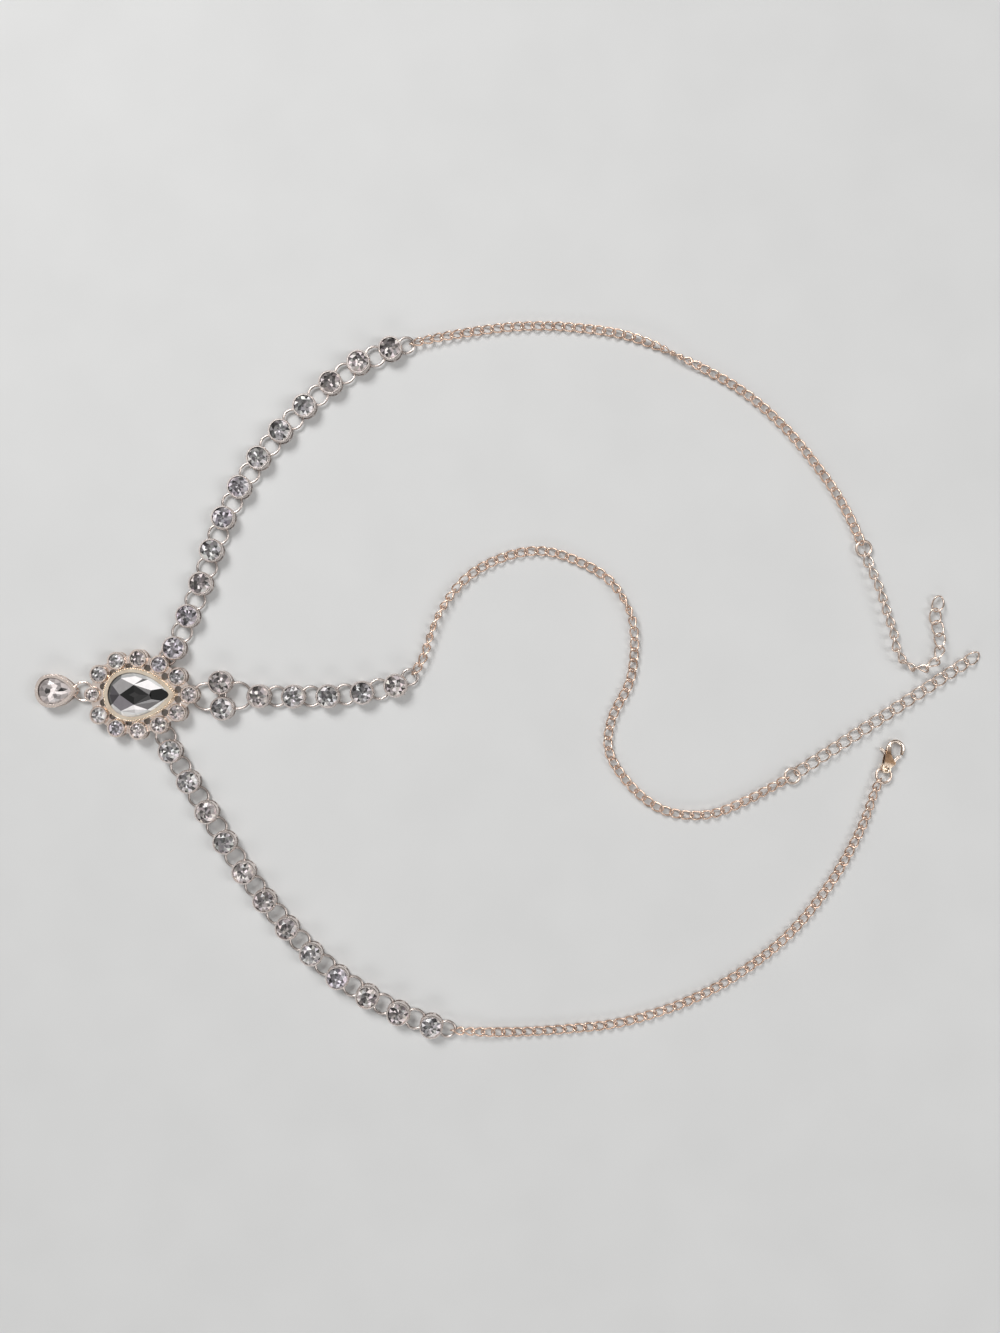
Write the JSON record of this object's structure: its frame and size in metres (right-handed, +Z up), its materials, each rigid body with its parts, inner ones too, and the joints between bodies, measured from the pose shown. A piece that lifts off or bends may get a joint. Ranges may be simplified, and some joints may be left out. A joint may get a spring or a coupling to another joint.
{
  "type": "hair chain",
  "caption": "Head chain laid flat: pear-stone medallion with a drop, strands of round stones in cups on rings, fine curb chains, extension chains and a lobster clasp with a sprung lever.",
  "frame": {"origin": "middle of the medallion's flat back, which lies on the floor at z = 0", "axes": "+Z up out of the stones' faces, +X from the medallion along the middle strand towards the clasp end, +Y towards the strand that carries the hooked extension chain"},
  "size_m": [0.2667, 0.2025, 0.0049],
  "materials": {
    "rose_plating": "polished rose-gold plating",
    "pale_plating": "polished pale plating",
    "clasp_plating": "polished golden plating",
    "crystal": "cut and foil-backed"
  },
  "bodies": {
    "chain": {"medallion_setting": "rose_plating", "medallion_stone": "crystal", "medallion_small_stones": "crystal", "drop_ring": "rose_plating", "drop_setting": "rose_plating", "drop_stone": "crystal", "upper_strand_cups": "pale_plating", "upper_strand_stones": "crystal", "upper_strand_rings": "pale_plating", "lower_strand_cups": "pale_plating", "lower_strand_stones": "crystal", "lower_strand_rings": "pale_plating", "middle_strand_cups": "pale_plating", "middle_strand_stones": "crystal", "middle_strand_rings": "pale_plating", "upper_curb_chain": "rose_plating", "middle_curb_chain": "rose_plating", "lower_curb_chain": "rose_plating", "upper_jump_ring": "pale_plating", "middle_jump_ring": "pale_plating", "upper_extension_chain": "pale_plating", "middle_extension_chain": "pale_plating", "clasp_jump_ring": "pale_plating", "clasp_body": "clasp_plating"},
    "lever": {"clasp_lever": "clasp_plating"}
  },
  "joints": [
    {"name": "clasp_lever_hinge", "type": "hinge", "parent": "chain", "child": "lever", "pos_m": [0.21215, -0.01941, 0.00105], "axis": [0, 0, 1], "range_deg": [0, 25], "stiffness_Nm_per_rad": 0.01}
  ]
}
